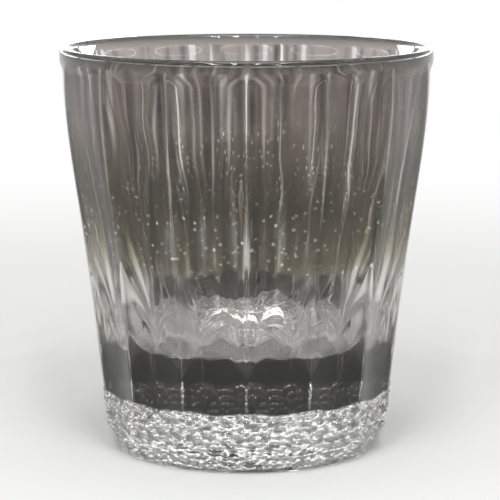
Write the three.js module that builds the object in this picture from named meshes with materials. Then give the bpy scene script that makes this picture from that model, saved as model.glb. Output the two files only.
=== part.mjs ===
// Fluted whisky tumbler, pressed in one go from clear glass.
// Sizes are in millimetres, +Z is up, and the glass stands on z = 0 with its axis on the Z axis.
// The one piece of glass is given as five zones that meet face to face on level planes:
// the foot, the solid base, the wall round the bowl, the straight wall above it and the plain rim.

import * as THREE from 'three';

// Overall size, with the outward bow of the side between the heel and the lip
const HEIGHT = 91;
const RIM_RADIUS = 42;
const SIDE_BOW = 1.2;

// Rim: a rounded lip and a plain band above the flutes
const LIP_THICKNESS = 2.2;
const LIP_BAND = 2.5;

// Heel: where the straight side ends above the foot
const HEEL_RADIUS = 32.7;
const HEEL_HEIGHT = 6.5;

// Foot: a short round pad under the heel, hollowed a little so that it stands on a ring
const FOOT_HEIGHT = 3.4;
const FOOT_TOP_RADIUS = 30;
const FOOT_RADIUS = 29.2;
const RING_WIDTH = 3.4;
const RECESS_DEPTH = 0.6;
const RECESS_EDGE = 1;

// Flutes: upright channels, deeper at the heel, with a sharp ridge between each two, one facing the front
const FLUTE_COUNT = 15;
const FLUTE_DEPTH = 1.4;
const FLUTE_TOP_DEPTH = 0.7;
const FLUTE_RUNOUT = 3;

// Cavity: a straight tapered wall that turns into a bowl with a small level floor
const FLOOR_HEIGHT = 24;
const FLOOR_RADIUS = 16;
const FLOOR_EDGE = 1;
const BOWL_TOP = 60;
const BOWL_WALL = 6.3;

// Lobes: the bowl bulges inward a little behind each flute, between these shares of its way down
const LOBE_DEPTH = 1.2;
const LOBE_START = 0.2;
const LOBE_FULL = 0.8;

// Fineness of the surfaces
const STEPS_PER_FLUTE = 6;
const RUNOUT_ROWS = 4;
const SIDE_ROWS = 5;
const HEEL_ROWS = 4;
const BOWL_ROWS = 10;
const LIP_ROWS = 6;

// Places that follow from the sizes above
const COLUMNS = FLUTE_COUNT * STEPS_PER_FLUTE;
const LIP_ROUND = LIP_THICKNESS / 2;
const LIP_MIDDLE = HEIGHT - LIP_ROUND;
const LIP_INSIDE = RIM_RADIUS - LIP_THICKNESS;
const RIM_BOTTOM = HEIGHT - LIP_BAND;
const FLUTE_FULL = RIM_BOTTOM - FLUTE_RUNOUT;
const RING_INNER = FOOT_RADIUS - RING_WIDTH;
const RECESS_RADIUS = RING_INNER - RECESS_EDGE;
const BOWL_RADIUS = coneRadius(BOWL_TOP) - BOWL_WALL;

// Outer side at a height: the cone that the ridges lie on, bowed outward most in its upper part.
function coneRadius(z) {
  const share = (z - HEEL_HEIGHT) / (LIP_MIDDLE - HEEL_HEIGHT);
  const bow = SIDE_BOW * Math.sin(Math.PI * THREE.MathUtils.clamp(share, 0, 1) ** 3);
  return HEEL_RADIUS + (RIM_RADIUS - HEEL_RADIUS) * share + bow;
}

// Slope under the heel at a height: a plain cone from the top of the foot out to the ridges.
function heelRadius(z) {
  return FOOT_TOP_RADIUS + (HEEL_RADIUS - FOOT_TOP_RADIUS) * (z - FOOT_HEIGHT) / (HEEL_HEIGHT - FOOT_HEIGHT);
}

// Cavity wall above the bowl at a height: a straight cone up to the inside of the lip.
function cavityRadius(z) {
  return BOWL_RADIUS + (LIP_INSIDE - BOWL_RADIUS) * (z - BOWL_TOP) / (LIP_MIDDLE - BOWL_TOP);
}

// Depth of a flute at an angle and height: none on a ridge, deepest midway between two ridges,
// shallower upward and easing out to nothing below the plain band.
function fluteDepth(angle, z) {
  const turn = angle * FLUTE_COUNT / (2 * Math.PI);
  const across = 2 * (turn - Math.floor(turn)) - 1;
  const climb = (z - HEEL_HEIGHT) / (FLUTE_FULL - HEEL_HEIGHT);
  const deepest = FLUTE_DEPTH + (FLUTE_TOP_DEPTH - FLUTE_DEPTH) * climb;
  return deepest * (1 - across * across) * (1 - THREE.MathUtils.smoothstep(z, FLUTE_FULL, RIM_BOTTOM));
}

// Full bulge of the bowl at an angle: none behind a ridge, most behind the middle of a flute.
function lobeDepth(angle) {
  return LOBE_DEPTH * (0.5 - 0.5 * Math.cos(FLUTE_COUNT * angle));
}

// Evenly spaced values from one end to the other, both included.
function spread(from, to, steps) {
  return Array.from({ length: steps + 1 }, (_, i) => from + (to - from) * i / steps);
}

// Plain point of a profile, the same all the way round.
function plain(r, z) {
  return { r, z, at: () => ({ r, z }) };
}

// Outside above the foot, at an angle and height: the fluted side, cut off under the heel by its slope.
function sideRadius(angle, z) {
  const side = coneRadius(z) - fluteDepth(angle, z);
  return z < HEEL_HEIGHT ? Math.min(side, heelRadius(z)) : side;
}

// Point on the outside above the foot, with a ridge at angle 0.
function fluted(z) {
  return { r: sideRadius(0, z), z, at: (angle) => ({ r: sideRadius(angle, z), z }) };
}

// Point on the bowl, from 0 at its top to 1 at the floor: a curve that leaves the straight wall
// and meets the floor smoothly, because its corner lies where those two would cross.
// The lobes stand square to this curve, into the cavity.
function bowl(share) {
  const top = new THREE.Vector2(BOWL_RADIUS, BOWL_TOP);
  const corner = new THREE.Vector2(cavityRadius(FLOOR_HEIGHT), FLOOR_HEIGHT);
  const floor = new THREE.Vector2(FLOOR_RADIUS, FLOOR_HEIGHT);
  const curve = new THREE.QuadraticBezierCurve(top, corner, floor);
  const { x: r, y: z } = curve.getPoint(share);
  const along = curve.getTangent(share);
  const grown = THREE.MathUtils.smoothstep(share, LOBE_START, LOBE_FULL);
  const at = (angle) => {
    const bulge = grown * lobeDepth(angle);
    return { r: r + bulge * along.y, z: z - bulge * along.x };
  };
  return { r, z, at };
}

// Solid turned from a profile, with each of its points then set to its own place at its angle.
function turned(name, profile, colour) {
  const geometry = new THREE.LatheGeometry(profile.map(({ r, z }) => new THREE.Vector2(r, z)), COLUMNS);
  geometry.rotateX(Math.PI / 2);
  const place = geometry.getAttribute('position');
  for (let i = 0; i < place.count; i += 1) {
    const angle = 2 * Math.PI * Math.floor(i / profile.length) / COLUMNS;
    const { r, z } = profile[i % profile.length].at(angle);
    place.setXYZ(i, r * Math.sin(angle), -r * Math.cos(angle), z);
  }
  geometry.computeVertexNormals();
  const glass = new THREE.MeshStandardMaterial({ color: colour, roughness: 0.05, metalness: 0 });
  const mesh = new THREE.Mesh(geometry, glass);
  mesh.name = name;
  return mesh;
}

// Foot: the round pad with a shallow hollow under it, so that only its outer ring touches the table.
function stippledFoot() {
  const profile = [
    plain(0, RECESS_DEPTH),
    plain(RECESS_RADIUS, RECESS_DEPTH),
    plain(RING_INNER, 0),
    plain(FOOT_RADIUS, 0),
    plain(FOOT_TOP_RADIUS, FOOT_HEIGHT),
    plain(0, FOOT_HEIGHT),
  ];
  return turned('stippled_foot', profile, 0xdfe3e4);
}

// Base block: the solid glass under the cavity floor, with the heel's slope at its lower edge.
function baseBlock() {
  const outside = [...spread(FOOT_HEIGHT, HEEL_HEIGHT, HEEL_ROWS), FLOOR_HEIGHT].map(fluted);
  return turned('base_block', [plain(0, FOOT_HEIGHT), ...outside, plain(0, FLOOR_HEIGHT)], 0xa9b0ab);
}

// Bowl wall: flutes outside and the lobed bowl inside, thick at the floor and thinner upward.
// The lobes end on the cavity floor, a little way in from the bowl.
function bowlWall() {
  const outside = spread(FLOOR_HEIGHT, BOWL_TOP, SIDE_ROWS).map(fluted);
  const inside = [...spread(0, 1, BOWL_ROWS).map(bowl), plain(FLOOR_RADIUS - FLOOR_EDGE, FLOOR_HEIGHT)];
  return turned('bowl_wall', [...outside, ...inside, outside[0]], 0xb1b8b3);
}

// Fluted wall: the upper flutes with their runout outside and the cavity's straight wall inside.
function flutedWall() {
  const side = spread(BOWL_TOP, FLUTE_FULL, SIDE_ROWS);
  const runout = spread(FLUTE_FULL, RIM_BOTTOM, RUNOUT_ROWS).slice(1);
  const outside = [...side, ...runout].map(fluted);
  const inside = [plain(cavityRadius(RIM_BOTTOM), RIM_BOTTOM), bowl(0)];
  return turned('fluted_wall', [...outside, ...inside, outside[0]], 0xb9bfbb);
}

// Rim: the plain band and the rounded lip, open in the middle.
function rim() {
  const lip = spread(0, Math.PI, LIP_ROWS).map((turn) => plain(
    RIM_RADIUS - LIP_ROUND + LIP_ROUND * Math.cos(turn),
    LIP_MIDDLE + LIP_ROUND * Math.sin(turn),
  ));
  const outside = plain(coneRadius(RIM_BOTTOM), RIM_BOTTOM);
  const inside = plain(cavityRadius(RIM_BOTTOM), RIM_BOTTOM);
  return turned('rim', [outside, ...lip, inside, outside], 0xc9cdca);
}

const tumbler = new THREE.Group();
tumbler.name = 'whisky_glass';
tumbler.add(stippledFoot(), baseBlock(), bowlWall(), flutedWall(), rim());

export default tumbler;
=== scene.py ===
import math

import bpy
import numpy as np
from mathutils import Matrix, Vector


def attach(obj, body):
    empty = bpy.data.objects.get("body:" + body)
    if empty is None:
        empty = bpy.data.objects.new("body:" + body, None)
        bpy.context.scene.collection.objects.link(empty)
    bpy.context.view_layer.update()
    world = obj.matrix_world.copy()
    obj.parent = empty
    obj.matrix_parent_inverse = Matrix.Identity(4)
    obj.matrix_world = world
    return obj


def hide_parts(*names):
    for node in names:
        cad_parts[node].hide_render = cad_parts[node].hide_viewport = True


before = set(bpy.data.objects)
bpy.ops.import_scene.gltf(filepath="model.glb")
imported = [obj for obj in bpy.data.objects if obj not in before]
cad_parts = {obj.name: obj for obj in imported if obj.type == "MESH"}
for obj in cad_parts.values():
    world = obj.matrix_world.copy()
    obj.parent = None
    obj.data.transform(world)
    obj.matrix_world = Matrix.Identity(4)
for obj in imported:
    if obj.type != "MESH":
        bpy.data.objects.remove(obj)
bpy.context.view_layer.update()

# Sizes in millimetres, the same as the solids have
MM = 0.001
HEIGHT = 91
RIM_RADIUS = 42
SIDE_BOW = 1.2
LIP_THICKNESS = 2.2
LIP_BAND = 2.5
HEEL_RADIUS = 32.7
HEEL_HEIGHT = 6.5
FOOT_HEIGHT = 3.4
FOOT_TOP_RADIUS = 30
FOOT_RADIUS = 29.2
RING_WIDTH = 3.4
RECESS_DEPTH = 0.6
RECESS_EDGE = 1
FLUTE_COUNT = 15
FLUTE_DEPTH = 1.4
FLUTE_TOP_DEPTH = 0.7
FLUTE_RUNOUT = 3
FLOOR_HEIGHT = 24
FLOOR_RADIUS = 16
BOWL_TOP = 60
BOWL_WALL = 6.3
LOBE_DEPTH = 1.2
LOBE_START = 0.2
LOBE_FULL = 0.8

# Places that follow from them
LIP_ROUND = LIP_THICKNESS / 2
LIP_MIDDLE = HEIGHT - LIP_ROUND
LIP_INSIDE = RIM_RADIUS - LIP_THICKNESS
RIM_BOTTOM = HEIGHT - LIP_BAND
FLUTE_FULL = RIM_BOTTOM - FLUTE_RUNOUT
RING_INNER = FOOT_RADIUS - RING_WIDTH
RECESS_RADIUS = RING_INNER - RECESS_EDGE

# Small roundings: of the ridges, as a share of the flute's depth, and of the edges of the standing ring
RIDGE_ROUND = 0.12
RING_EDGE = 0.3
RING_EDGE_RISE = 0.05

# Hammered finish of the foot: spacing and depth of the dimples and of finer ones in them, how far a dimple
# reaches and how far it keeps from the edge of its cell, as shares of its spacing, and the depth of relief
# that lies flush with the solid
DIMPLES = [(1.6, 0.6), (0.75, 0.3)]
DIMPLE_REACH = 0.62
DIMPLE_MARGIN = 0.05
DIMPLE_MEAN = 0.4
# How high the finish goes up the side in the flutes, how much higher on the ridges, and the widths over
# which it eases in above the standing ring, eases out at its top and eases out at the edge of the hollow
HAMMER_TOP = 13.2
HAMMER_SCALLOP = 0.9
HAMMER_START = 0.6
HAMMER_EASE = 0.8
HOLLOW_EASE = 0.6

# Ripple of the pressed inside, which bends what is seen through it: its height, and the distances from the
# lip and from the floor between which it grows to that
RIPPLE = 0.08
RIPPLE_EASE = (1, 12)

# Random swells: how many waves each has, then for each use the range of its waves' turns round the glass
# and their steepest climb in radians per millimetre
WAVES = 12
RIPPLE_SWELL = ((2, 14), 0.5)
RAY_SWELL = ((5, 40), 0.6)
LINE_SWELL = ((1, 12), 0.4)
SOFT_SWELL = ((15, 75), 0.12)

# Painted upright lines on the outside: a clear one on each ridge as a painted highlight, wider round the bowl
# and fainter on the base, and a dark one of painted shade on both sides of it. Their places and widths are
# shares of half a flute's width
SHADE_LINE_PLACE = 0.85
SHADE_LINE_WIDTH = 0.09
LINE_WIDTH = 0.0625
RAY_WIDTH = 0.14
# Strength of the clear line, and the share of it that shows on the base
CREST = 1.6
BASE_CREST = 0.4
# What the swells leave of the lines: the mean, the spread and the least share
LINE_LEFT = (0.55, 0.35, 0.1)
# Heights between which the lines start, turn from faint to full, and are wide
CREST_START = (14, 17)
CREST_FULL = (FLOOR_HEIGHT, FLOOR_HEIGHT + 8)
WIDE_BELT = (32, 40, 42, 62)

# Softer painted streaks of shade and light between the ridges: strength of the dark and of the clear ones,
# the swell at which each starts and is full, and the heights between which they set in
STREAK_DARK = 0.8
STREAK_CLEAR = 0.5
DARK_SWELL = (0.3, 1.5)
CLEAR_SWELL = (1.1, 1.9)
STREAK_START = (36, 46)
# Share of the painted tone's brightness that the darkest painted streak keeps
STREAK_TONE = 0.1

# Painted shade in a belt round the inside of the bowl: its streaks' strength, its heights, and what the
# swells leave of the clear rays of painted light in it, as for the lines
BOWL_PAINTED_SHADE = 0.8
PAINTED_SHADE_BELT = (31, 42, 46, 62)
RAY_LEFT = (0.8, 0.5, 0.0)

# Painted shade of the clear glass by height in millimetres, standing in for the dim surroundings seen through
# it: a nearly black base, a pale bowl, an olive wall that turns to a warm grey upward, and a dark lip
PAINTED_SHADE_TONES = [(15, "#060604"), (20, "#0a0907"), (23, "#0f0e0b"), (26, "#2c2a21"), (28.5, "#f0eeea"),
         (40, "#f0eeea"), (47, "#938a70"), (52, "#58503c"), (60, "#403a2c"), (66, "#544c44"),
         (75, "#7e736c"), (88, "#6c615c"), (89.8, "#3a3833")]
# The painted shade of the base ends in an arch in each flute: how far it drops at the ridges in millimetres,
# how narrow that drop is, and its heights
BASE_SCALLOP = 4.0
ARCH_POWER = 6
ARCH_BELT = (14, 23, 28, 38)
# On the foot painted shade lies only between the dimples, which stay clear: how far, the depths of relief
# between which that fades, and half the width over which the full tone sets in at the top of the hammered
# finish
FOOT_TONE = 0.9
DIMPLE_CLEAR = (0.15, 0.55)
TONE_EDGE = 0.3

# Painted glints, small clear specks in the painted shade: spacing in millimetres, size as a share of it, and
# how many by height
PAINTED_GLINT_SPACING = 2.0
PAINTED_GLINT_SIZE = 0.24
PAINTED_GLINT_BELT = [(40, 0.0), (45, 1.0), (57, 1.0), (66, 0.0)]

# The glass itself: how far it bends light, its tint, and how strongly it tints in a metre
GLASS_IOR = 1.51
GLASS_TINT = "#bcbdb8"
GLASS_DENSITY = 7.0

# Studio, in metres: plain white, the height on the axis that the lamps face, and the table
WHITE = (1, 1, 1, 1)
AIM_HEIGHT = 0.045
TABLE_COLOUR = "#f0f0ee"
TABLE_RADIUS = 3
TABLE_DROP = 0.0002
TABLE_SIDES = 96
# Distances from the middle between which the table goes over to plain white
TABLE_FADE = (0.15, 0.5)
# World: slopes upward between which its white darkens, how bright it is above, and as light on the object
WORLD_FADE = (0.15, 0.4)
WORLD_TOP = 0.15
WORLD_LIGHT = 0.05
# Lamps: places, with the rise of the key lamps in degrees, sizes, and how bright their faces are
TOP_PLACE = (0, -0.1, 0.95)
TOP_SIZE = (0.6, 0.6)
TOP_RADIANCE = 2.5
KEY_ROWS = 3
KEY_COLUMNS = 4
KEY_SPACING = 0.22
KEY_DISTANCE = 1.1
KEY_RISE = 38
KEY_RISE_STEP = 10
KEY_SIZE = (0.05, 0.05)
KEY_RADIANCE = 100.0
STRIP_COUNT = 12
STRIP_DISTANCE = 0.75
STRIP_HEIGHT = 0.16
STRIP_SIZE = (0.35, 0.06)
STRIP_FRONT_RADIANCE = 5.0
STRIP_BACK_RADIANCE = 10.0
# Camera, fitted to the outline of the glass in the photo: its tilt below the level is in radians, and its
# lens and sensor are in millimetres
CAMERA_PLACE = (0, -0.504, 0.1285)
CAMERA_TILT = 0.165
CAMERA_LENS = 161.28
CAMERA_SENSOR = 36
CAMERA_SHIFT = 0.007
# Bounces of light, enough for crossing the thick base and the foot many times
BOUNCES = 32
GLASS_BOUNCES = 24

# Fineness of the surface: columns round the glass, rows of each stretch, and the innermost rings of the
# underside, in millimetres, and of the cavity's floor, as a share of its radius
SEED = 7
COLUMNS_PER_FLUTE = 32
COLUMNS = FLUTE_COUNT * COLUMNS_PER_FLUTE
HOLLOW_ROWS = 48
HAMMER_ROWS = 66
FLUTE_ROWS = 24
RUNOUT_ROWS = 6
LIP_ROWS = 11
WALL_ROWS = 12
BOWL_ROWS = 27
FLOOR_ROWS = 11
FIRST_RING = 0.35
LAST_RING = 0.03
# How far the fine rows of the side go on past the top of the hammered finish
FINE_MARGIN = 0.5
ANGLE = np.linspace(0, 2 * np.pi, COLUMNS, endpoint=False)[None, :]


def linear(hex_colour):
    """sRGB hex to linear red, green, blue and full alpha, by the sRGB curve."""
    parts = [int(hex_colour[i:i + 2], 16) / 255 for i in (1, 3, 5)]
    return (*[c / 12.92 if c <= 0.04045 else ((c + 0.055) / 1.055) ** 2.4 for c in parts], 1.0)


def smooth_step(value, low, high):
    """Eased ramp from 0 at low to 1 at high."""
    t = np.clip((value - low) / (high - low), 0, 1)
    return t * t * (3 - 2 * t)


def belt(value, start, full, last, end):
    """Eased belt: 0 up to its start, 1 from full to last, and 0 again from its end."""
    return smooth_step(value, start, full) * (1 - smooth_step(value, last, end))


def cone_radius(z):
    """Radius of the cone that the ridges lie on: linear in the height, bowed outward in its upper part."""
    share = (z - HEEL_HEIGHT) / (LIP_MIDDLE - HEEL_HEIGHT)
    bow = SIDE_BOW * np.sin(np.pi * np.clip(share, 0, 1) ** 3)
    return HEEL_RADIUS + (RIM_RADIUS - HEEL_RADIUS) * share + bow


def heel_radius(z):
    """Radius of the slope under the heel: linear from the top of the foot out to the ridges."""
    share = (z - FOOT_HEIGHT) / (HEEL_HEIGHT - FOOT_HEIGHT)
    return FOOT_TOP_RADIUS + (HEEL_RADIUS - FOOT_TOP_RADIUS) * share


BOWL_RADIUS = cone_radius(BOWL_TOP) - BOWL_WALL


def cavity_radius(z):
    """Radius of the cavity's straight wall: linear from the top of the bowl to the inside of the lip."""
    return BOWL_RADIUS + (LIP_INSIDE - BOWL_RADIUS) * (z - BOWL_TOP) / (LIP_MIDDLE - BOWL_TOP)


def across_flute():
    """Place across a flute at each column: -1 on one ridge, 0 in the middle and 1 on the next ridge."""
    turn = ANGLE * FLUTE_COUNT / (2 * np.pi)
    return 2 * (turn - np.floor(turn)) - 1


def ridge():
    """Nearness to a ridge at each column: a cosine wave, 1 on the ridges and 0 midway between them."""
    return 0.5 + 0.5 * np.cos(FLUTE_COUNT * ANGLE)


def flute_depth(z):
    """Depth of the flutes: a parabola between each two ridges, rounded over at the ridges, deepest
    at the heel, growing less with the height and easing out to nothing below the plain band."""
    dish = 1 - across_flute() ** 2
    full = math.hypot(1, RIDGE_ROUND) - RIDGE_ROUND
    channel = (np.hypot(dish, RIDGE_ROUND) - RIDGE_ROUND) / full
    climb = (z - HEEL_HEIGHT) / (FLUTE_FULL - HEEL_HEIGHT)
    deepest = FLUTE_DEPTH + (FLUTE_TOP_DEPTH - FLUTE_DEPTH) * climb
    return deepest * channel * (1 - smooth_step(z, FLUTE_FULL, RIM_BOTTOM))


def lobes():
    """Bulge of the bowl: a cosine wave, none behind the ridges and full behind the flutes."""
    return LOBE_DEPTH * (1 - ridge())


def bowl(share):
    """Radius and height on the bowl: a quadratic curve from the straight wall, at share 0, to the level
    floor, at share 1, moved along its normal into the cavity by lobes that grow downward."""
    corner = cavity_radius(FLOOR_HEIGHT)
    left = 1 - share
    radius = left ** 2 * BOWL_RADIUS + 2 * share * left * corner + share ** 2 * FLOOR_RADIUS
    height = left ** 2 * BOWL_TOP + (1 - left ** 2) * FLOOR_HEIGHT
    inward = left * (BOWL_RADIUS - corner) + share * (corner - FLOOR_RADIUS)
    downward = left * (BOWL_TOP - FLOOR_HEIGHT)
    bulge = lobes() * smooth_step(share, LOBE_START, LOBE_FULL) / np.hypot(inward, downward)
    return radius - bulge * downward, height + bulge * inward


def at(radius, height):
    """Points all round the axis at a radius and height for each row, or for each row and column."""
    radius, height = np.broadcast_arrays(radius + 0 * ANGLE, height + 0 * ANGLE)
    return np.stack([radius * np.sin(ANGLE), -radius * np.cos(ANGLE), height], axis=-1)


def dimples(dice, across, along, cells):
    """Bowls round one seed in each cell of a square grid, 1 in the middle of a bowl and 0 at its edge,
    at places counted in cells. The grid repeats after its number of cells."""
    seeds = dice.uniform(DIMPLE_MARGIN, 1 - DIMPLE_MARGIN, (cells, cells, 2))
    nearest = np.inf
    for column in np.floor(across).astype(int) + np.array([-1, 0, 1])[:, None, None]:
        for row in np.floor(along).astype(int) + np.array([-1, 0, 1])[:, None, None]:
            seed = seeds[column % cells, row % cells]
            gap = (column + seed[..., 0] - across) ** 2 + (row + seed[..., 1] - along) ** 2
            nearest = np.minimum(nearest, gap)
    return np.clip(1 - nearest / DIMPLE_REACH ** 2, 0, 1)


def hammered(dice, across, along, width):
    """Hammered relief in millimetres on a strip that closes on itself after its width: coarse dimples
    and fine ones added together."""
    relief = 0
    for spacing, depth in DIMPLES:
        cells = round(width / spacing)
        relief = relief + depth * dimples(dice, across * cells / width, along / spacing, cells)
    return relief


def waves(dice, height, turns, climb):
    """Smooth random swells of about unit size: the sum of sine waves round and up the glass, each with
    its own climb in radians per millimetre, whole number of turns and phase."""
    total = 0
    for _ in range(WAVES):
        steepness = dice.uniform(-climb, climb)
        around = dice.integers(*turns)
        phase = dice.uniform(0, 2 * np.pi)
        total = total + np.sin(around * ANGLE + steepness * height + phase)
    return total * math.sqrt(2 / WAVES)


def left_by(swell, mean, spread, least):
    """Share of a line that a swell leaves: the mean plus the spread times the swell, from least to 1."""
    return np.clip(mean + spread * swell, least, 1)


def underside(dice):
    """Underside from the middle out: a shallow hollow with dimples, then the level ring it stands on. The
    dimples lie on a square grid that is wider than the hollow."""
    reach = np.linspace(FIRST_RING, RECESS_RADIUS, HOLLOW_ROWS)[:, None]
    plain = at(reach, RECESS_DEPTH)
    relief = hammered(dice, plain[..., 0], plain[..., 1], 4 * RING_INNER)
    fade = 1 - smooth_step(reach, RECESS_RADIUS - HOLLOW_EASE, RECESS_RADIUS)
    hollow = at(reach, RECESS_DEPTH + fade * (relief - DIMPLE_MEAN))
    edges = np.array([RING_INNER, RING_INNER + RING_EDGE, FOOT_RADIUS - RING_EDGE, FOOT_RADIUS])[:, None]
    ring = at(edges, np.array([RING_EDGE_RISE, 0, 0, RING_EDGE_RISE])[:, None])
    return np.concatenate([hollow, ring])


def hammer_top():
    """Height of the upper edge of the hammered finish: a cosine wave that rises on each ridge."""
    return HAMMER_TOP + HAMMER_SCALLOP * ridge()


def outer_side(dice):
    """Outside from the foot up: the foot's edge, the slope under the heel, the fluted side and the plain
    band, with dimples pressed into all that lies below the upper edge of the hammered finish. With it, the
    depth of the dimples."""
    fine = HAMMER_TOP + HAMMER_SCALLOP + FINE_MARGIN
    levels = np.concatenate([np.linspace(RING_EDGE, fine, HAMMER_ROWS),
                             np.linspace(fine, FLUTE_FULL, FLUTE_ROWS)[1:],
                             np.linspace(FLUTE_FULL, RIM_BOTTOM, RUNOUT_ROWS)[1:],
                             [(RIM_BOTTOM + LIP_MIDDLE) / 2]])[:, None]
    pad = FOOT_RADIUS + (FOOT_TOP_RADIUS - FOOT_RADIUS) * levels / FOOT_HEIGHT
    under = np.where(levels < FOOT_HEIGHT, pad, heel_radius(levels))
    limit = np.where(levels < HEEL_HEIGHT, under, np.inf)
    side = np.minimum(cone_radius(levels) - flute_depth(levels), limit)
    relief = hammered(dice, FOOT_TOP_RADIUS * ANGLE, levels, 2 * np.pi * FOOT_TOP_RADIUS)
    top = hammer_top()
    ease = belt(levels, RING_EDGE, RING_EDGE + HAMMER_START, top - HAMMER_EASE, top)
    return at(side - ease * (relief - DIMPLE_MEAN), levels), relief


def lip():
    """Half round lip, from the outside over to the inside."""
    turn = np.linspace(0, np.pi, LIP_ROWS)[:, None]
    return at(RIM_RADIUS - LIP_ROUND + LIP_ROUND * np.cos(turn), LIP_MIDDLE + LIP_ROUND * np.sin(turn))


def cavity(dice):
    """Cavity from the lip down: straight wall and lobed bowl, both a little rippled, then the level floor,
    on which the lobes run out halfway to its middle."""
    levels = np.linspace(LIP_MIDDLE, BOWL_TOP, WALL_ROWS)[1:-1, None] + 0 * ANGLE
    radius, height = bowl(np.linspace(0, 1, BOWL_ROWS)[:, None])
    radius = np.concatenate([cavity_radius(levels), radius])
    height = np.concatenate([levels, height])
    fade = smooth_step(LIP_MIDDLE - height, *RIPPLE_EASE) * smooth_step(height - FLOOR_HEIGHT, *RIPPLE_EASE)
    wall = at(radius + RIPPLE * fade * waves(dice, height, *RIPPLE_SWELL), height)
    inner = FLOOR_RADIUS * np.linspace(1, LAST_RING, FLOOR_ROWS)[1:, None]
    floor = at(inner, FLOOR_HEIGHT + lobes() * smooth_step(inner, FLOOR_RADIUS / 2, FLOOR_RADIUS))
    return np.concatenate([wall, floor])


def painted_streaks(dice, height):
    """Painted streaks of shade and light on the outside, 1 where darkest and -1 where clear: a clear painted
    highlight line on each ridge with a dark painted shade line on both sides, broken up by swells, and softer
    painted streaks between them above the pale bowl."""
    place = np.abs(across_flute())
    shade_line = np.clip(1 - np.abs(place - SHADE_LINE_PLACE) / SHADE_LINE_WIDTH, 0, 1)
    wide = LINE_WIDTH + (RAY_WIDTH - LINE_WIDTH) * belt(height, *WIDE_BELT)
    strength = BASE_CREST + (1 - BASE_CREST) * smooth_step(height, *CREST_FULL)
    crest = np.clip(1 - (1 - place) / wide, 0, 1) * strength * smooth_step(height, *CREST_START)
    lines = (shade_line - CREST * crest) * left_by(waves(dice, height, *LINE_SWELL), *LINE_LEFT)
    swell = waves(dice, height, *SOFT_SWELL)
    soft = STREAK_DARK * smooth_step(swell, *DARK_SWELL) - STREAK_CLEAR * smooth_step(-swell, *CLEAR_SWELL)
    soft = soft * smooth_step(height, *STREAK_START)
    return np.clip(lines + soft, -1, 1) * (height < RIM_BOTTOM)


def bowl_painted_shade(dice, inside):
    """How far the inside is toned with painted shade at each point, and its streaks: a belt of painted shade
    round the upper bowl, with clear broken rays of painted light behind the ridges and behind the middles of
    the flutes."""
    height = inside[..., 2]
    place = np.abs(across_flute())
    ray = np.clip(1 - np.minimum(place, 1 - place) / RAY_WIDTH, 0, 1)
    ray = ray * left_by(waves(dice, height, *RAY_SWELL), *RAY_LEFT)
    return belt(height, *PAINTED_SHADE_BELT), BOWL_PAINTED_SHADE * (1 - ray) - ray


def glass_surface():
    """Rings of points of the whole glass, from the middle of the underside out and up over the foot, heel,
    flutes and lip, then down the cavity to the middle of its floor. With them, three marks of each point: how
    far it takes the painted shade, which is between the dimples of the foot, on the side above it and in the
    belt round the bowl; its painted streak of shade or light; and the height that it takes its painted shade
    from, as a share of the whole."""
    dice = np.random.default_rng(SEED)
    below = underside(dice)
    side, depth = outer_side(dice)
    over = lip()
    inside = cavity(dice)
    # Painted shade round the inside of the bowl, with rays of painted light
    painted_inside_shade, rays = bowl_painted_shade(dice, inside)
    height = side[..., 2]
    # Painted streaks of shade and light on the outside
    lines = painted_streaks(dice, height)
    # Painted shade between the dimples of the foot
    foot = FOOT_TONE * (1 - smooth_step(depth, *DIMPLE_CLEAR))
    toned = foot + (1 - foot) * smooth_step(height, hammer_top() - TONE_EDGE, hammer_top() + TONE_EDGE)
    bare = np.zeros(below.shape[:2])
    # Painted shade of the dark lip, fading out over it
    fading = np.linspace(1, 0, len(over))[:, None] + 0 * ANGLE
    rings = np.concatenate([below, side, over, inside])
    level = rings[..., 2] / HEIGHT
    # Painted shade of the base reaches down in an arch on each ridge
    arch = BASE_SCALLOP * ridge() ** ARCH_POWER * belt(height, *ARCH_BELT)
    level[len(below):len(below) + len(side)] += arch / HEIGHT
    marks = {"tone": np.concatenate([bare, toned, fading, painted_inside_shade]),
             "painted_streak": np.concatenate([bare, lines, 0 * fading, rays]),
             "level": level}
    return rings, marks


def closed_mesh(name, rings, marks):
    """Mesh of rings of points joined by four-sided faces, with a fan to a middle point at each end.
    Each mark is a number for each point, kept as an attribute under its name."""
    rows, columns = rings.shape[:2]
    ends = rings[[0, -1]].mean(axis=1)
    points = np.concatenate([rings.reshape(-1, 3), ends]) * MM
    index = np.arange(rows * columns).reshape(rows, columns)
    beside = np.roll(index, -1, axis=1)
    quads = np.stack([index[:-1], beside[:-1], beside[1:], index[1:]], axis=-1).reshape(-1, 4)
    first = np.full(columns, rows * columns)
    fans = np.concatenate([np.stack([beside[0], index[0], first], axis=-1),
                           np.stack([index[-1], beside[-1], first + 1], axis=-1)])
    mesh = bpy.data.meshes.new(name)
    mesh.from_pydata(points.tolist(), [], quads.tolist() + fans.tolist())
    mesh.polygons.foreach_set("use_smooth", np.ones(len(mesh.polygons), dtype=bool))
    for mark, values in marks.items():
        kept = mesh.attributes.new(mark, "FLOAT", "POINT")
        kept.data.foreach_set("value", np.append(values.ravel(), [0, 0]))
    mesh.update()
    made = bpy.data.objects.new(name, mesh)
    bpy.context.scene.collection.objects.link(made)
    return made


def node(tree, kind, settings=(), inputs=(), stops=()):
    """Adds a node, sets its properties and the stops of its ramp, then sets each input to a value or links
    it to another node's output."""
    made = tree.nodes.new(kind)
    for name, value in dict(settings).items():
        setattr(made, name, value)
    for number, (place, colour) in enumerate(stops):
        ramp = made.color_ramp.elements
        stop = ramp[number] if number < 2 else ramp.new(place)
        stop.position = place
        stop.color = colour
    for name, value in dict(inputs).items():
        if isinstance(value, bpy.types.NodeSocket):
            tree.links.new(value, made.inputs[name])
        else:
            made.inputs[name].default_value = value
    return made


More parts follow.
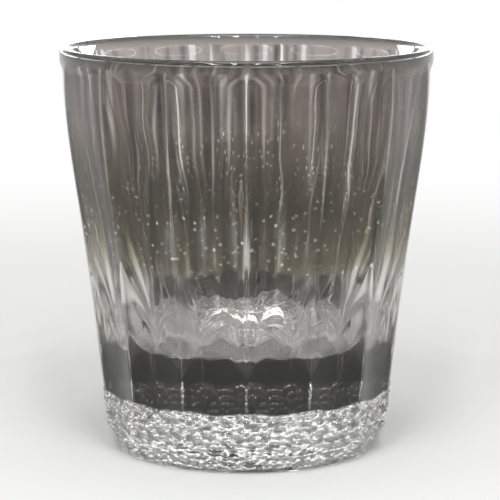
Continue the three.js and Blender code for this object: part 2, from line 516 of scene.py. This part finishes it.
def new_tree(name):
    """Empty node tree of a new material."""
    material = bpy.data.materials.new(name)
    material.use_nodes = True
    material.node_tree.nodes.clear()
    return material, material.node_tree


def pressed_glass():
    """Pressed soda-lime glass, fire-polished and clear, with light and shade painted into its colour: a clear
    sparkling foot, painted shade that is nearly black on the base, a paler bowl, painted shade in olive and
    warm grey on the wall, painted light and dark lines running up the flutes, and a belt of small painted
    glints round the bowl."""
    material, tree = new_tree("pressed_soda_lime_glass")
    place = node(tree, "ShaderNodeTexCoord").outputs["Object"]
    share = node(tree, "ShaderNodeAttribute", {"attribute_name": "level"}).outputs["Fac"]
    # Painted shade of the glass by height
    painted_tones = node(tree, "ShaderNodeValToRGB", inputs={0: share},
                 stops=[(z / HEIGHT, linear(colour)) for z, colour in PAINTED_SHADE_TONES]).outputs["Color"]
    # Painted streaks darken the painted shade or clear it to a painted highlight
    painted_streak = node(tree, "ShaderNodeAttribute", {"attribute_name": "painted_streak"}).outputs["Fac"]
    dark = node(tree, "ShaderNodeMapRange", inputs={"Value": painted_streak, "To Min": 1.0, "To Max": STREAK_TONE})
    lined = node(tree, "ShaderNodeMix", {"data_type": "RGBA", "blend_type": "MULTIPLY"},
                 {0: 1.0, 6: painted_tones, 7: dark.outputs[0]})
    clear = node(tree, "ShaderNodeMapRange", inputs={"Value": painted_streak, "From Max": -1.0})
    streaked_shade = node(tree, "ShaderNodeMix", {"data_type": "RGBA"},
                 {0: clear.outputs[0], 6: lined.outputs[2], 7: WHITE})
    # Painted glints: small clear specks round the bowl
    cells = node(tree, "ShaderNodeTexVoronoi", inputs={"Vector": place, "Scale": 1 / (PAINTED_GLINT_SPACING * MM)})
    dots = node(tree, "ShaderNodeMapRange", inputs={
        "Value": cells.outputs["Distance"], "From Min": PAINTED_GLINT_SIZE, "From Max": PAINTED_GLINT_SIZE / 2})
    many = node(tree, "ShaderNodeValToRGB", inputs={0: share},
                stops=[(z / HEIGHT, (v, v, v, 1)) for z, v in PAINTED_GLINT_BELT]).outputs["Color"]
    painted_glints = node(tree, "ShaderNodeMath", {"operation": "MULTIPLY"}, {0: dots.outputs[0], 1: many})
    with_painted_glints = node(tree, "ShaderNodeMix", {"data_type": "RGBA"},
                    {0: painted_glints.outputs[0], 6: streaked_shade.outputs[2], 7: WHITE})
    # How far the painted shade, with its painted streaks and glints, is laid on the clear glass
    tone = node(tree, "ShaderNodeAttribute", {"attribute_name": "tone"}).outputs["Fac"]
    colour = node(tree, "ShaderNodeMix", {"data_type": "RGBA"},
                  {0: tone, 6: WHITE, 7: with_painted_glints.outputs[2]})
    surface = node(tree, "ShaderNodeBsdfPrincipled", inputs={
        "Base Color": colour.outputs[2], "Roughness": 0.0, "IOR": GLASS_IOR, "Transmission Weight": 1.0})
    volume = node(tree, "ShaderNodeVolumeAbsorption", inputs={
        "Color": linear(GLASS_TINT), "Density": GLASS_DENSITY})
    node(tree, "ShaderNodeOutputMaterial", inputs={
        "Surface": surface.outputs[0], "Volume": volume.outputs[0]})
    return material


def seen(tree):
    """1 for what the camera sees straight on, in a mirror or through glass, and 0 for light on the object."""
    path = node(tree, "ShaderNodeLightPath").outputs
    either = node(tree, "ShaderNodeMath", {"operation": "MAXIMUM"},
                  {0: path["Is Camera Ray"], 1: path["Is Glossy Ray"]})
    return node(tree, "ShaderNodeMath", {"operation": "MAXIMUM"},
                {0: either.outputs[0], 1: path["Is Transmission Ray"]}).outputs[0]


def studio_floor():
    """Pale matt table, a flat disc that holds the shadow and turns plain white away from the object."""
    material, tree = new_tree("matt_white_table")
    place = node(tree, "ShaderNodeTexCoord").outputs["Object"]
    far = node(tree, "ShaderNodeVectorMath", {"operation": "LENGTH"}, {0: place}).outputs["Value"]
    ramp = node(tree, "ShaderNodeMapRange", {"interpolation_type": "SMOOTHSTEP"},
                {"Value": far, "From Min": TABLE_FADE[0], "From Max": TABLE_FADE[1]})
    share = node(tree, "ShaderNodeMath", {"operation": "MULTIPLY"}, {0: ramp.outputs[0], 1: seen(tree)})
    matt = node(tree, "ShaderNodeBsdfDiffuse", inputs={"Color": linear(TABLE_COLOUR)})
    white = node(tree, "ShaderNodeEmission", inputs={"Color": WHITE, "Strength": 1.0})
    both = node(tree, "ShaderNodeMixShader", inputs={
        0: share.outputs[0], 1: matt.outputs[0], 2: white.outputs[0]})
    node(tree, "ShaderNodeOutputMaterial", inputs={"Surface": both.outputs[0]})
    turn = np.linspace(0, 2 * np.pi, TABLE_SIDES, endpoint=False)
    points = np.column_stack([TABLE_RADIUS * np.cos(turn), TABLE_RADIUS * np.sin(turn),
                              np.full_like(turn, -TABLE_DROP)])
    mesh = bpy.data.meshes.new("table")
    mesh.from_pydata(points.tolist(), [], [list(range(len(turn)))])
    mesh.materials.append(material)
    made = bpy.data.objects.new("table", mesh)
    bpy.context.scene.collection.objects.link(made)


def studio_world():
    """White studio round the horizon that darkens upward, as the camera, mirrors and glass see it; otherwise
    a plain dim light."""
    world = bpy.data.worlds.new("studio")
    bpy.context.scene.world = world
    world.use_nodes = True
    tree = world.node_tree
    tree.nodes.clear()
    way = node(tree, "ShaderNodeTexCoord").outputs["Generated"]
    up = node(tree, "ShaderNodeSeparateXYZ", inputs={0: way}).outputs["Z"]
    wall = node(tree, "ShaderNodeMapRange", {"interpolation_type": "SMOOTHSTEP"},
                {"Value": up, "From Min": WORLD_FADE[0], "From Max": WORLD_FADE[1],
                 "To Min": 1.0, "To Max": WORLD_TOP})
    strength = node(tree, "ShaderNodeMapRange", inputs={
        "Value": seen(tree), "To Min": WORLD_LIGHT, "To Max": wall.outputs[0]})
    light = node(tree, "ShaderNodeBackground", inputs={"Color": WHITE, "Strength": strength.outputs[0]})
    node(tree, "ShaderNodeOutputWorld", inputs={"Surface": light.outputs[0]})


def softbox(name, place, size, radiance):
    """Rectangular lamp that faces the glass, with its power worked out from how bright its face is."""
    lamp = bpy.data.lights.new(name, "AREA")
    lamp.shape = "RECTANGLE"
    lamp.size, lamp.size_y = size
    lamp.energy = radiance * math.pi * size[0] * size[1]
    made = bpy.data.objects.new(name, lamp)
    made.location = place
    made.rotation_euler = (Vector((0, 0, AIM_HEIGHT)) - Vector(place)).to_track_quat("-Z", "Y").to_euler()
    bpy.context.scene.collection.objects.link(made)


def studio_lamps():
    """Soft light from above, rows of small key lamps in front, and a ring of low strips for the sparkle,
    brighter behind the glass."""
    softbox("top_box", TOP_PLACE, TOP_SIZE, TOP_RADIANCE)
    for number in range(KEY_ROWS * KEY_COLUMNS):
        row, column = divmod(number, KEY_COLUMNS)
        rise = math.radians(KEY_RISE + KEY_RISE_STEP * row)
        place = (KEY_SPACING * (column - (KEY_COLUMNS - 1) / 2),
                 -KEY_DISTANCE * math.cos(rise),
                 AIM_HEIGHT + KEY_DISTANCE * math.sin(rise))
        softbox(f"key_lamp_{number}", place, KEY_SIZE, KEY_RADIANCE)
    for number in range(STRIP_COUNT):
        turn = 2 * math.pi * (number + 0.5) / STRIP_COUNT
        place = (STRIP_DISTANCE * math.sin(turn), -STRIP_DISTANCE * math.cos(turn), STRIP_HEIGHT)
        radiance = STRIP_BACK_RADIANCE if place[1] > 0 else STRIP_FRONT_RADIANCE
        softbox(f"low_strip_{number}", place, STRIP_SIZE, radiance)


def camera():
    """Camera in front of the glass, looking down a little."""
    lens = bpy.data.cameras.new("camera")
    lens.sensor_width = CAMERA_SENSOR
    lens.lens = CAMERA_LENS
    lens.shift_x = CAMERA_SHIFT
    made = bpy.data.objects.new("camera", lens)
    made.location = CAMERA_PLACE
    made.rotation_euler = (math.pi / 2 - CAMERA_TILT, 0, 0)
    bpy.context.scene.collection.objects.link(made)
    bpy.context.scene.camera = made


glass = closed_mesh("pressed_glass_tumbler", *glass_surface())
glass.data.materials.append(pressed_glass())
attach(glass, "root")
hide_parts("stippled_foot", "base_block", "bowl_wall", "fluted_wall", "rim")

studio_floor()
studio_world()
studio_lamps()
camera()
bpy.context.scene.view_settings.view_transform = "Standard"
cycles = bpy.context.scene.cycles
cycles.max_bounces = BOUNCES
cycles.glossy_bounces = GLASS_BOUNCES
cycles.transmission_bounces = GLASS_BOUNCES
